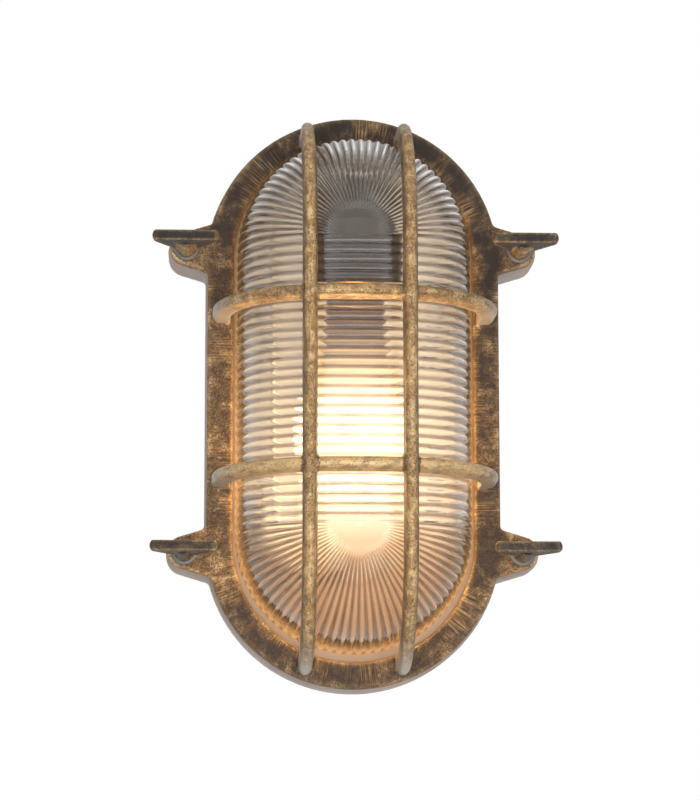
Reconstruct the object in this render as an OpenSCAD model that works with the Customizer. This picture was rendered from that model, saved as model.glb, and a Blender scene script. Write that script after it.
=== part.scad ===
// Oval bulkhead wall light: cast base and caged guard, ribbed glass, one screw-in lamp
// The wall is the plane y = 0, the front faces -Y and +Z is up. Depths are counted forward from the wall.

/* [Ring and base] */
// Width of the guard's ring across its straight sides
ring_w = 140; // [120:1:170]
// Length of the straight sides between the two round ends
ring_straight = 136; // [110:1:170]
// Depth of the cast base, from the wall to the joint with the guard
base_depth = 20; // [18:0.5:30]
// Depth of the guard's ring, from the joint to its front face
ring_depth = 8; // [7:0.5:12]
// How far the base stands proud of the guard all round
base_proud = 1.1; // [0.4:0.1:2]
// Depth of the shadow groove in the base under the joint
groove_depth = 3; // [1:0.5:5]
// How far the base stands proud of the guard inside that groove
groove_proud = 0.2; // [0:0.1:0.3]
// Thickness of the base's floor
floor_t = 4; // [3:0.5:6]
// Width of the outer rim that closes round the glass flange
rim_wall = 3.8; // [3:0.1:5]
// Width of the gasket seat inside the base's rim
seat_w = 6; // [4:0.5:8]

/* [Guard] */
// Width of the ring's flat front face
face_w = 12.4; // [10:0.1:16]
// Thickness of the ring's front plate
plate_t = 4; // [3:0.5:5]
// Edge radius of the ring's front face
edge_r = 1.5; // [0.5:0.1:1.9]
// Height of the cage above the ring's face
cage_h = 74; // [60:1:85]
// Depth of a cage bar
bar_depth = 8.5; // [7:0.5:9]
// Width of a cage bar at its back
bar_back_w = 7.2; // [5:0.2:8]
// Nose radius of a cage bar
bar_nose_r = 2.8; // [1.5:0.1:3]
// Distance of the bars' feet inside the ring's outer edge
foot_inset = 2.4; // [1:0.1:3]
// Straight height of the shortest bar legs
leg_h = 9; // [1:0.5:12]
// Half of the shortest flat stretch along a bar
bar_flat = 7.5; // [4:0.5:12]
// Distance of the upright bars from the middle
upright_x = 23; // [18:0.5:28]
// Distance of the cross bars from the middle
cross_z = 39.8; // [32:0.2:46]

/* [Lugs and wing screws] */
// Distance of the screws outside the ring's straight sides
lug_reach = 10.4; // [9:0.2:14]
// How far the screws lie beyond the straight sides, up and down
screw_rise = 5.4; // [0:0.2:10]
// Radius of a lug's round end
lug_r = 7.7; // [6.5:0.1:9]
// Angle at which a lug's flanks spread towards the ring
lug_spread = 17; // [8:1:25]
// Radius of the fillets where a lug meets the ring
lug_fillet = 2.5; // [1:0.1:3]
// Diameter of the screw's shank
shank_d = 5.9; // [4.9:0.1:6.9]
// Length of thread held in the base
thread_l = 12; // [8:0.5:14]
// Span of the wing
wing_span = 31.6; // [26:0.2:36]
// Thickness of the wing
wing_t = 4.8; // [3:0.1:5.5]
// Height of the wing's front edge above the guard's face
wing_h = 30.4; // [22:0.2:32]
// Radius of the wing's tips
wing_tip_r = 2.4; // [1.5:0.1:3]
// Radius of the wing's ends seen from the front, as a share of its thickness
wing_end = 0.6; // [0.55:0.05:1]
// Height at which the wing leaves the hub
wing_root_h = 6; // [4:0.5:10]
// Diameter of the screw's hub
hub_d = 9.6; // [8.5:0.1:10.5]
// Diameter of the hub at its top
hub_top_d = 7.4; // [6.5:0.1:9.5]
// Height of the screw's hub
hub_h = 21; // [9:0.5:24]
// Outside diameter of the washer
washer_d = 12.6; // [11:0.1:14]
// Thickness of the washer
washer_t = 1.2; // [0.8:0.1:2]

/* [Glass and gaskets] */
// Gap between the dome and the ring's opening at the sides
dome_gap = 2.1; // [2:0.1:4]
// How much sooner the dome's straight stretch ends than the ring's, at each end
dome_short = 0.8; // [0.8:0.1:4]
// How far the dome sits above the ring's middle
dome_lift = 2; // [0:0.5:2]
// Squareness of the dome's section, where 2 is an ellipse
dome_power = 2.7; // [2.2:0.1:2.8]
// Gap between the dome's crown and the bars
cage_gap = 9.5; // [5:0.5:12]
// Wall thickness of the dome
glass_t = 3; // [2.5:0.1:4]
// Thickness of the glass flange
flange_t = 3; // [2:0.1:4]
// Clearance round the flange inside the rims
flange_clear = 0.5; // [0.3:0.1:0.8]
// Ribs along the straight stretch
side_ribs = 30; // [20:2:36]
// Ribs round each end
end_ribs = 38; // [26:2:44]
// Height of a rib
rib_h = 0.6; // [0.3:0.1:1]
// Thickness of the gasket behind the glass
rear_gasket_t = 2; // [1:0.1:3]
// Thickness of the gasket in front of the glass
front_gasket_t = 1; // [0.5:0.1:1.5]

/* [Tray and wall fixing] */
// Height of the bosses that carry the tray
boss_h = 5; // [4:0.5:7]
// Diameter of the bosses
boss_d = 9; // [7:0.5:10]
// Thickness of the reflector tray
tray_t = 1; // [0.8:0.1:1.5]
// Gap between the tray and the base's wall
tray_gap = 2.7; // [1.5:0.1:4]
// Height of the tray's turned-up edge
tray_lip = 5; // [3:0.5:7]
// Place of the tray screws, sideways
tray_screw_x = 44; // [38:1:48]
// How far the tray screws lie beyond the straight sides, up and down
tray_screw_rise = 10; // [4:1:14]
// Diameter of the small screws
screw_d = 4; // [3:0.1:4.5]
// Diameter of the small screws' heads
screw_head_d = 7.6; // [6.5:0.1:8.5]
// Height of the small screws' heads
screw_head_h = 2.4; // [1.5:0.1:3]
// Place of the wall fixing holes, sideways
fix_x = 44; // [36:1:46]
// Place of the wall fixing holes, up and down
fix_z = 40; // [30:1:44]
// Diameter of the wall fixing holes
fix_d = 5.2; // [4.2:0.1:6]
// Diameter of the access holes over them in the tray
access_d = 10.4; // [9:0.2:12]
// How far the rear cable entry lies beyond the straight sides
entry_drop = 16; // [12:1:22]
// Diameter of the cable entry
entry_d = 20; // [16:0.5:22]
// Diameter of the cable hole in the grommet
cable_d = 8; // [6:0.5:10]
// Width of the grommet's lips
lip_w = 2.5; // [2:0.1:3]
// Thickness of the grommet's lips
lip_t = 1.5; // [1:0.1:2]
// Diameter of the tray's hole over the grommet
tray_hole_d = 13; // [12:0.5:16]
// Place of the earth screw, sideways
earth_x = 30; // [26:1:36]
// How far the earth screw lies inside the straight sides' lower end
earth_in = 6; // [0:1:12]
// Diameter of the earth washer
earth_washer_d = 9.6; // [9:0.1:11]
// Thickness of the earth washer
earth_washer_t = 1; // [0.6:0.1:1.5]

/* [Lampholder and lamp] */
// How far the lampholder's top lies beyond the straight sides
holder_rise = 33; // [26:1:36]
// Length of the lampholder
holder_l = 55; // [48:1:58]
// Diameter of the lampholder's skirt
holder_d = 46; // [42:0.5:48]
// Length of the lampholder's skirt
skirt_l = 34; // [31:0.5:36]
// Length of the shoulder between the skirt and the head
shoulder_l = 5; // [3:0.5:6]
// Diameter of the lampholder's head
head_d = 40; // [36:0.5:42]
// Spacing of the lampholder's screws
holder_screw_gap = 17; // [15:0.5:19]
// Diameter of the lampholder's screws
holder_screw_d = 3; // [2.5:0.1:3.5]
// Length of the lampholder's screws in its head
holder_screw_l = 9; // [6:0.5:10]
// Thickness of the bracket
bracket_t = 1.5; // [1:0.1:2]
// Width of the bracket
bracket_w = 40; // [36:1:42]
// Length of the bracket's foot
foot_l = 20; // [16:1:24]
// Spacing of the bracket's screws
bracket_screw_gap = 25; // [22:0.5:27]
// Diameter of the lamp's cap
cap_d = 26.4; // [26:0.1:26.8]
// Length of the lamp's cap
cap_l = 25; // [22:0.5:27]
// Diameter of the lamp's end contact
button_d = 10; // [8:0.5:12]
// Wall thickness of the threaded shell
shell_t = 0.8; // [0.5:0.1:1]
// Clearance between the lamp's cap and the shell
cap_clear = 0.2; // [0.1:0.05:0.4]
// Thickness of the centre contact
contact_t = 1; // [0.6:0.1:1.5]
// Largest diameter of the lamp
lamp_d = 60; // [54:1:64]
// Length of the lamp from its cap to its tip
lamp_l = 98; // [88:1:104]
// How far the lamp's collar stands out from its cap
neck_spread = 0.6; // [0.4:0.1:1]
// Length of the lamp's collar
neck_l = 2; // [1:0.1:3]
// Height of the lamp's end contact
button_l = 2; // [1:0.1:3]

/* [Terminals and leads] */
// Distance of the terminal block's middle inside the tray's edge
block_in = 25.5; // [22:0.5:28]
// How far the terminal block lies inside the straight sides' lower end
block_rise = 6; // [2:1:12]
// Distance of its two ways from its middle
way_x = 8; // [7:0.5:9]
// Width of the terminal block
block_w = 27; // [24:0.5:30]
// Width of a way's raised housing
way_w = 6.8; // [6.4:0.1:7.2]
// Length of the terminal block along the wires
block_l = 17; // [15:0.5:20]
// Distance of the clamp screws from the block's middle
clamp_z = 4.3; // [4:0.1:5]
// Diameter of the clamp screws
clamp_d = 2.6; // [2:0.1:3]
// Diameter of the brass barrels
barrel_d = 5; // [4.6:0.1:5.4]
// How far the barrels and their screws are sunk in the block
sunk = 1; // [0.5:0.1:1.5]
// Height of the terminal block
block_h = 13; // [12:0.5:16]
// Diameter of a lead
lead_d = 2.4; // [1.8:0.1:2.8]
// Bend radius of the leads
lead_bend = 6; // [5:0.5:8]
// Distance of the first lead below the lampholder's top
lead_drop = 7; // [5:0.5:8]
// Distance between the leads along the lampholder
lead_step = 5; // [4:0.5:6]
// Distance of the leads from the lampholder's middle plane
lead_apart = 5; // [4:0.5:6]
// Depth of the leads' ends in the lampholder
lead_in = 3; // [2:0.5:4]

/* [Hidden] */
$fn = 96;

// Running clearance of a screw or a pin, on the radius
fit = 0.05;
// Clearance of a screw in a plain hole, on the radius
loose = 0.3;
// Overlap that lets a cut run clear of a face
over = 1;
// How far a flank runs inside the arc that it meets, so that the two cross cleanly
nip = 0.03;

// Half width and half straight length of the ring
ring_r = ring_w / 2;
ring_s = ring_straight / 2;
// Depths of the guard's front face and of the back of its front plate
face_y = base_depth + ring_depth;
plate_y = face_y - plate_t;
// Radii of the opening, of the rebate behind it and of the base's pocket
open_r = ring_r - face_w;
rebate_r = ring_r - rim_wall;
pocket_r = rebate_r - seat_w;
// Stack of gaskets and flange between the base's seat and the front plate
flange_front = plate_y - front_gasket_t;
flange_back = flange_front - flange_t;
seat_y = flange_back - rear_gasket_t;
flange_r = rebate_r - flange_clear;
// Screw places
screw_x = ring_r + lug_reach;
fillet_off = lug_fillet - nip;
screw_z = ring_s + screw_rise;
// Feet of the upright bars stand on the round ends as far in as those of the cross bars
foot_r = ring_r - foot_inset;
upright_span = ring_s + sqrt(foot_r * foot_r - upright_x * upright_x);
// Dome
dome_r = open_r - dome_gap;
dome_s = ring_s - dome_short;
crown_y = face_y + cage_h - bar_depth - cage_gap;
inner_crown_y = crown_y - glass_t;
// Tray
tray_back = floor_t + boss_h;
tray_front = tray_back + tray_t;
tray_r = pocket_r - tray_gap;
tray_screw_z = ring_s + tray_screw_rise;
entry_z = ring_s + entry_drop;
earth_z = ring_s - earth_in;
// Lampholder axis, midway between the tray and the dome
axis_y = (tray_front + inner_crown_y) / 2;
holder_top = ring_s + holder_rise;
holder_foot = holder_top - holder_l;
// Inside the lampholder: the shell starts a little above its foot and the lamp's cap ends at the contact
shell_r = cap_d / 2 + cap_clear + shell_t;
shell_foot = holder_foot + contact_t;
cap_top = holder_foot + cap_l;
// Terminal block and the depth of its wires
block_x = tray_r - block_in;
block_z = ring_s - block_rise;
wire_y = tray_front + block_h / 2 - fit;
ways = [-1, 1];
// Depth of the leads' ends in the lampholder's head
lead_end_y = axis_y - sqrt(head_d * head_d / 4 - lead_apart * lead_apart) + lead_in;
// Depth of the small screws' tips
tip_y = floor_t + over;

// Draws a plan outline, as seen from the front, between two depths
module plan(from, to) {
    translate([0, -from, 0])
        rotate([90, 0, 0])
            linear_extrude(to - from)
                children();
}

// A round bar along the depth, between two depths
module rod(d, from, to) {
    plan(from, to) circle(d = d);
}

// Sweeps a section (distance from the middle line, depth) round an oval path
module oval_sweep(half) {
    for (end = [0, 1])
        mirror([0, 0, end])
            translate([0, 0, half])
                rotate([90, 0, 0])
                    rotate_extrude(angle = 180)
                        children();
    for (side = [0, 1])
        mirror([side, 0, 0])
            translate([0, 0, -half])
                linear_extrude(2 * half)
                    mirror([0, 1, 0])
                        children();
}

// Outline with two round ends
module oval(r, half) {
    square([2 * r, 2 * half], center = true);
    for (end = [-1, 1])
        translate([0, end * half])
            circle(r);
}

// Repeats what it is given at the four corners of a rectangle
module at_corners(x, z) {
    for (sx = [-1, 1], sz = [-1, 1])
        translate([sx * x, 0, sz * z])
            children();
}

// A point of the upper right lug's flank, at a distance t from its round end
function flank(grow, side, t) = [screw_x, screw_z]
    + (lug_r + grow - nip) * flank_normal(side)
    + t * [-cos(lug_spread), side * sin(lug_spread)];
function flank_normal(side) = [sin(lug_spread), side * cos(lug_spread)];

// Distance along a flank to the middle of the fillet against the straight side
function fillet_on_side(grow) =
    (flank(grow + fillet_off, -1, 0)[0] - ring_r - grow - fillet_off) / cos(lug_spread);

// Distance along a flank to the middle of the fillet against the round end
function fillet_on_end(grow) =
    let (p = flank(grow + fillet_off, 1, 0) - [0, ring_s],
         d = [-cos(lug_spread), sin(lug_spread)],
         reach = ring_r + grow + fillet_off,
         b = p * d)
    -b - sqrt(max(0, b * b - p * p + reach * reach));

// Fill of a fillet: a corner patch, from inside the lug to inside the ring, less the fillet's circle
module fillet_fill(middle, to_flank, to_ring) {
    reach = lug_fillet + over;
    in_rim = [ring_r - rim_wall / 4, screw_z];
    difference() {
        polygon([middle + reach * to_flank, middle, middle + reach * to_ring, in_rim]);
        translate(middle)
            circle(lug_fillet);
    }
}

// One lug of the outline, with its fillets
module lug(grow) {
    root = (screw_x - open_r - face_w / 2) / cos(lug_spread);
    translate([screw_x, screw_z])
        circle(lug_r + grow);
    polygon([flank(grow, 1, 0), flank(grow, 1, root), flank(grow, -1, root), flank(grow, -1, 0)]);
    side_mid = flank(grow + fillet_off, -1, fillet_on_side(grow));
    fillet_fill(side_mid, -flank_normal(-1), [-1, 0]);
    end_mid = flank(grow + fillet_off, 1, fillet_on_end(grow));
    end_out = end_mid - [0, ring_s];
    fillet_fill(end_mid, -flank_normal(1), -end_out / norm(end_out));
}

// The four lugs
module lugs(grow) {
    for (sx = [0, 1], sz = [0, 1])
        mirror([sx, 0])
            mirror([0, sz])
                lug(grow);
}

// Outline of the base: the ring and its lugs
module base_outline(grow) {
    oval(ring_r + grow, ring_s);
    lugs(grow);
}

// Bosses that carry the tray, the bracket and the earth screw
module boss_places() {
    at_corners(tray_screw_x, tray_screw_z)
        children();
    bracket_screw_places()
        children();
    translate([earth_x, 0, -earth_z])
        children();
}

module bracket_screw_places() {
    for (side = [-1, 1])
        translate([side * bracket_screw_gap / 2, 0, holder_top - foot_l / 2])
            children();
}

module base() {
    color("dimgray") {
        difference() {
            union() {
                plan(0, base_depth - groove_depth) base_outline(base_proud);
                plan(base_depth - groove_depth, base_depth) base_outline(groove_proud);
            }
            plan(seat_y, base_depth + over) oval(rebate_r, ring_s);
            plan(floor_t, seat_y + over) oval(pocket_r, ring_s);
            at_corners(screw_x, screw_z)
                rod(shank_d + 2 * fit, base_depth - thread_l - over, base_depth + over);
            at_corners(fix_x, fix_z)
                rod(fix_d, -over, floor_t + over);
            translate([0, 0, -entry_z])
                rod(entry_d, -over, floor_t + over);
            translate([0, 0, -entry_z])
                rod(entry_d + 2 * lip_w + 2 * loose, -over, lip_t + fit);
        }
        difference() {
            boss_places()
                rod(boss_d, floor_t, tray_back);
            boss_places()
                rod(screw_d + 2 * fit, floor_t, tray_back + over);
        }
    }
}

// Section of a cage bar: a drafted back and a round nose, the nose towards +X
module bar_section() {
    polygon([[-bar_depth, -bar_back_w / 2], [-bar_depth, bar_back_w / 2],
        [-bar_nose_r, bar_nose_r - nip], [-bar_nose_r, nip - bar_nose_r]]);
    translate([-bar_nose_r, 0])
        circle(bar_nose_r);
}

// A straight length of bar that runs back from where it is placed
module bar_run(length) {
    rotate([90, 0, 0])
        linear_extrude(length)
            bar_section();
}

// A cage bar: two legs, two bends and a flat stretch, rising along +Y over a span along X
module bar(half_span) {
    bend = min(half_span - bar_flat, cage_h - leg_h);
    leg = cage_h - bend;
    flat = half_span - bend;
    for (side = [0, 1])
        mirror([side, 0, 0]) {
            translate([flat, leg, 0])
                rotate_extrude(angle = 90)
                    translate([bend, 0])
                        bar_section();
            translate([half_span, leg, 0])
                bar_run(leg + plate_t / 2);
        }
    translate([-flat, cage_h, 0])
        rotate([0, 0, 90])
            bar_run(2 * flat);
}

// Section of the guard's ring: front plate with eased edges and a rim behind it
module ring_section() {
    translate([open_r, plate_y])
        square([face_w, plate_t - edge_r]);
    translate([open_r + edge_r, plate_y])
        square([face_w - 2 * edge_r, plate_t]);
    for (r = [open_r + edge_r, ring_r - edge_r])
        translate([r, face_y - edge_r])
            circle(edge_r);
    translate([rebate_r, base_depth])
        square([rim_wall, ring_depth - edge_r]);
}

module guard() {
    color("darkgoldenrod")
        difference() {
            union() {
                oval_sweep(ring_s)
                    ring_section();
                difference() {
                    plan(base_depth, face_y) lugs(0);
                    plan(base_depth - over, plate_y + plate_t / 2) oval(rebate_r + rim_wall / 2, ring_s);
                    plan(plate_y, face_y + over) oval(ring_r - 2 * edge_r, ring_s);
                }
                for (side = [-1, 1]) {
                    translate([0, -face_y, side * cross_z])
                        rotate([0, 0, 180])
                            bar(foot_r);
                    translate([side * upright_x, -face_y, 0])
                        rotate([0, 90, 0])
                            rotate([0, 0, 180])
                                bar(upright_span);
                }
            }
            at_corners(screw_x, screw_z)
                rod(shank_d + 2 * loose, base_depth - over, face_y + over);
        }
}

// The ribbed dome is one surface of rings that run round the oval. Every second point of a ribbed ring
// stands on a rib. Smooth rings keep every fourth point.
side_n = 4 * round(side_ribs / 2);
end_n = 4 * round(end_ribs / 2);
ring_n = 2 * (side_n + end_n);
smooth_step = 4;
smooth_n = ring_n / smooth_step;
dome_rows = 7;
inner_rows = 4;
last_angle = 80;

// Direction out from the middle line, and height on that line, of point k round an oval
function round_oval(k, half) =
    k < side_n ? [1, 0, half * (2 * k / side_n - 1)]
    : k < side_n + end_n ?
        let (a = 180 * (k - side_n) / end_n) [cos(a), sin(a), half]
    : k < 2 * side_n + end_n ? [-1, 0, half * (1 - 2 * (k - side_n - end_n) / side_n)]
    : let (a = 180 + 180 * (k - 2 * side_n - end_n) / end_n) [cos(a), sin(a), -half];

function on_straight(k) = k < side_n || (k >= side_n + end_n && k < 2 * side_n + end_n);

// A point of the oval at a distance from its middle line and a depth
function oval_point(k, half, lift, r, y) =
    let (d = round_oval(k, half)) [d[0] * r, -y, d[2] + d[1] * r + lift];

// Distance and depth of the dome's section at an angle from its foot, and the way its surface faces
function dome_at(r, foot_y, top_y, a) =
    [r * pow(cos(a), 2 / dome_power), foot_y + (top_y - foot_y) * pow(sin(a), 2 / dome_power)];
function dome_normal(r, rise, a) =
    let (n = [pow(cos(a), 2 - 2 / dome_power) / r, pow(sin(a), 2 - 2 / dome_power) / rise]) n / norm(n);

// Ribs at the ends die out towards the hub
function rib_share(k, row) = on_straight(k) ? 1 : min(1, (dome_rows - row) / 2);

function ribbed_ring(row) =
    let (a = last_angle * row / dome_rows,
         p = dome_at(dome_r, flange_front, crown_y, a),
         n = dome_normal(dome_r, crown_y - flange_front, a))
    [for (k = [0 : ring_n - 1])
        let (q = p + (k % 2) * rib_h * rib_share(k, row) * n) oval_point(k, dome_s, dome_lift, q[0], q[1])];

function smooth_ring(half, lift, r, y) =
    [for (k = [0 : smooth_step : ring_n - 1]) oval_point(k, half, lift, r, y)];

function inner_ring(row) =
    let (p = dome_at(dome_r - glass_t, flange_back, inner_crown_y, last_angle * row / inner_rows))
    smooth_ring(dome_s, dome_lift, p[0], p[1]);

function flatten(lists) = [for (l = lists) each l];
function reversed(faces) = [for (f = faces) [f[2], f[1], f[0]]];

// Faces between two rings of n points, between a smooth ring and a ribbed one, and over a last ring
function strip(first, second, n) = flatten([for (i = [0 : n - 1])
    let (j = (i + 1) % n) [[first + i, first + j, second + j], [first + i, second + j, second + i]]]);
function stitch(smooth, ribbed) = flatten([for (i = [0 : smooth_n - 1])
    let (a = smooth + i, b = smooth + (i + 1) % smooth_n,
         f = [for (m = [0 : smooth_step]) ribbed + (smooth_step * i + m) % ring_n])
    [[a, f[1], f[0]], [a, f[2], f[1]], [a, b, f[2]], [b, f[3], f[2]], [b, f[4], f[3]]]]);
function crown(first, sides, ends) =
    let (n = 2 * (sides + ends), far = 2 * sides + ends)
    concat(
        flatten([for (k = [0 : sides - 1])
            let (a = first + k, b = first + k + 1, c = first + far - k - 1, d = first + (far - k) % n)
            [[a, b, c], [a, c, d]]]),
        [for (i = [sides + 1 : sides + ends - 1]) [first + sides, first + i, first + i + 1]],
        [for (i = [far + 1 : n - 1]) [first + far, first + i, first + (i + 1) % n]]);

module glass() {
    points = flatten(concat(
        [smooth_ring(ring_s, 0, flange_r, flange_back), smooth_ring(ring_s, 0, flange_r, flange_front)],
        [for (row = [0 : dome_rows]) ribbed_ring(row)],
        [for (row = [0 : inner_rows]) inner_ring(row)]));
    ribbed = 2 * smooth_n;
    inner = ribbed + (dome_rows + 1) * ring_n;
    outside = concat(
        strip(0, smooth_n, smooth_n),
        stitch(smooth_n, ribbed),
        flatten([for (row = [0 : dome_rows - 1])
            strip(ribbed + row * ring_n, ribbed + (row + 1) * ring_n, ring_n)]),
        crown(ribbed + dome_rows * ring_n, side_n, end_n));
    inside = concat(
        strip(0, inner, smooth_n),
        flatten([for (row = [0 : inner_rows - 1])
            strip(inner + row * smooth_n, inner + (row + 1) * smooth_n, smooth_n)]),
        crown(inner + inner_rows * smooth_n, side_n / smooth_step, end_n / smooth_step));
    color("whitesmoke", 0.4)
        polyhedron(points, concat(reversed(outside), inside), convexity = 8);
}

module rear_gasket() {
    inner_r = pocket_r + flange_clear;
    color("gainsboro")
        oval_sweep(ring_s)
            translate([inner_r, seat_y])
                square([flange_r - inner_r, flange_back - seat_y]);
}

// The front gasket reaches in to the dome, so its edge shows inside the ring
module front_gasket() {
    color("gainsboro")
        plan(flange_front, plate_y)
            difference() {
                oval(flange_r, ring_s);
                translate([0, dome_lift])
                    oval(dome_r + rib_h + loose, dome_s);
            }
}

// Wing of a screw, seen along the wall: a straight front edge with round tips, narrowing to the hub
module wing_outline() {
    tip_x = wing_span / 2 - wing_tip_r;
    tip_z = wing_h - wing_tip_r;
    root_x = hub_top_d / 2;
    reach = [tip_x - root_x, tip_z - wing_root_h];
    inset = wing_tip_r - nip;
    flank_a = atan2(reach[1], reach[0]) - asin(inset / norm(reach));
    low_x = tip_x + inset * sin(flank_a);
    low_z = tip_z - inset * cos(flank_a);
    for (side = [-1, 1])
        translate([side * tip_x, tip_z])
            circle(wing_tip_r);
    polygon([[-root_x, wing_root_h], [root_x, wing_root_h], [low_x, low_z], [tip_x, tip_z + inset],
        [-tip_x, tip_z + inset], [-low_x, low_z]]);
}

// Outline of the wing seen from the front, with round ends
module wing_plan() {
    end_r = wing_end * wing_t;
    end_x = wing_span / 2 - end_r;
    square([2 * end_x, 2 * end_r], center = true);
    for (side = [-1, 1])
        translate([side * end_x, 0])
            circle(end_r);
}

module wing_screw(sx, sz) {
    color("darkslategray")
        translate([sx * screw_x, -face_y, sz * screw_z])
            rotate([90, 0, 0]) {
                translate([0, 0, -ring_depth - thread_l])
                    cylinder(d = shank_d, h = ring_depth + thread_l + washer_t + over);
                translate([0, 0, washer_t])
                    cylinder(d1 = hub_d, d2 = hub_top_d, h = hub_h);
                intersection() {
                    translate([0, wing_t / 2, 0])
                        rotate([90, 0, 0])
                            linear_extrude(wing_t)
                                wing_outline();
                    linear_extrude(wing_h + over)
                        wing_plan();
                }
            }
}

module washer(sx, sz) {
    color("silver")
        translate([sx * screw_x, 0, sz * screw_z])
            difference() {
                rod(washer_d, face_y, face_y + washer_t);
                rod(shank_d + 2 * fit, face_y - over, face_y + washer_t + over);
            }
}

// A pan-headed screw whose head stands on a given depth
module pan_screw(under_head, tip) {
    rod(screw_d, tip, under_head + screw_head_h / 2);
    rod(screw_head_d, under_head, under_head + screw_head_h);
}

module reflector_tray() {
    color("white")
        difference() {
            union() {
                plan(tray_back, tray_front) oval(tray_r, ring_s);
                oval_sweep(ring_s)
                    translate([tray_r - tray_t, tray_back])
                        square([tray_t, tray_lip]);
            }
            boss_places()
                rod(screw_d + 2 * loose, tray_back - over, tray_front + over);
            at_corners(fix_x, fix_z)
                rod(access_d, tray_back - over, tray_front + over);
            translate([0, 0, -entry_z])
                rod(tray_hole_d, tray_back - over, tray_front + over);
            translate([-block_x, 0, -block_z])
                rod(screw_d + 2 * fit, tray_back - over, tray_front + over);
        }
}

module tray_screws() {
    color("silver")
        at_corners(tray_screw_x, tray_screw_z)
            pan_screw(tray_front, tip_y);
}

module cable_grommet() {
    color("black")
        translate([0, 0, -entry_z])
            difference() {
                union() {
                    rod(entry_d + 2 * lip_w, 0, lip_t);
                    rod(entry_d - 2 * fit, 0, floor_t + lip_t);
                    rod(entry_d + 2 * lip_w, floor_t, floor_t + lip_t);
                }
                rod(cable_d, -over, floor_t + lip_t + over);
            }
}

module earth_washer() {
    color("gold")
        translate([earth_x, 0, -earth_z])
            difference() {
                rod(earth_washer_d, tray_front, tray_front + earth_washer_t);
                rod(screw_d + 2 * fit, tray_front - over, tray_front + earth_washer_t + over);
            }
}

module earth_screw() {
    color("gold")
        translate([earth_x, 0, -earth_z])
            pan_screw(tray_front + earth_washer_t, tip_y);
}

// Places of the two screws that hold the lampholder under its bracket
module holder_screw_places() {
    for (side = [-1, 1])
        translate([side * holder_screw_gap / 2, -axis_y, holder_top])
            children();
}

module lampholder_bracket() {
    color("silver")
        difference() {
            union() {
                translate([-bracket_w / 2, -tray_front - bracket_t, holder_top - foot_l])
                    cube([bracket_w, bracket_t, foot_l + bracket_t]);
                translate([-bracket_w / 2, -axis_y - head_d / 2, holder_top])
                    cube([bracket_w, axis_y + head_d / 2 - tray_front, bracket_t]);
            }
            bracket_screw_places()
                rod(screw_d + 2 * loose, tray_front - over, tray_front + bracket_t + over);
            holder_screw_places()
                translate([0, 0, -over])
                    cylinder(d = holder_screw_d + 2 * fit, h = bracket_t + 2 * over);
        }
}

module bracket_screws() {
    color("silver")
        bracket_screw_places()
            pan_screw(tray_front + bracket_t, tip_y);
}

module lampholder_body() {
    color("dimgray")
        difference() {
            translate([0, -axis_y, holder_foot]) {
                cylinder(d = holder_d, h = skirt_l);
                translate([0, 0, skirt_l])
                    cylinder(d1 = holder_d, d2 = head_d, h = shoulder_l);
                cylinder(d = head_d, h = holder_l);
            }
            translate([0, -axis_y, holder_foot - over])
                cylinder(r = shell_r + fit, h = cap_l + contact_t + over);
            holder_screw_places()
                translate([0, 0, -holder_screw_l - over])
                    cylinder(d = holder_screw_d + 2 * fit, h = holder_screw_l + 2 * over);
            for (way = ways)
                translate([way * lead_apart, 0, lead_height(way)])
                    rod(lead_d + 2 * fit, axis_y - head_d / 2 - over, lead_end_y + fit);
        }
}

module lampholder_screws() {
    color("silver")
        holder_screw_places() {
            translate([0, 0, bracket_t])
                cylinder(d = 2 * holder_screw_d, h = screw_head_h);
            translate([0, 0, -holder_screw_l])
                cylinder(d = holder_screw_d, h = holder_screw_l + bracket_t + screw_head_h / 2);
        }
}

module lampholder_shell() {
    color("goldenrod")
        translate([0, -axis_y, shell_foot])
            difference() {
                cylinder(r = shell_r, h = cap_top + contact_t - shell_foot);
                translate([0, 0, -over])
                    cylinder(r = shell_r - shell_t, h = cap_l + 2 * over);
            }
}

module centre_contact() {
    color("goldenrod")
        translate([0, -axis_y, cap_top])
            cylinder(d = button_d + 2 * contact_t, h = contact_t);
}

// Lamp: cap, waisted neck and round end in one revolved outline
module lamp() {
    lamp_r = lamp_d / 2;
    neck_r = cap_d / 2 + neck_spread;
    neck_z = holder_foot - neck_l;
    ball_z = holder_foot - lamp_l + lamp_r;
    rise = neck_z - ball_z;
    waist_r = (neck_r * neck_r + rise * rise - lamp_r * lamp_r) / (2 * (lamp_r - neck_r));
    waist_x = neck_r + waist_r;
    join = lamp_r / (lamp_r + waist_r) * [waist_x, rise];
    color("ivory")
        translate([0, -axis_y, 0])
            rotate_extrude() {
                translate([0, neck_z - over])
                    square([cap_d / 2, cap_l + neck_l - button_l + over]);
                translate([0, neck_z])
                    square([button_d / 2, cap_l + neck_l]);
                translate([0, neck_z])
                    square([neck_r, neck_l]);
                intersection() {
                    translate([0, ball_z])
                        circle(lamp_r);
                    translate([0, ball_z - lamp_r])
                        square([lamp_r, 2 * lamp_r]);
                }
                difference() {
                    translate([0, ball_z + join[1]])
                        square([join[0] - nip, rise - join[1]]);
                    translate([waist_x, neck_z])
                        circle(waist_r);
                }
            }
}

// Middle of a way of the terminal block
module way_place(way) {
    translate([-block_x + way * way_x, 0, -block_z])
        children();
}

module clamp_places() {
    for (way = ways, end = [-1, 1])
        way_place(way)
            translate([0, 0, end * clamp_z])
                children();
}

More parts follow.
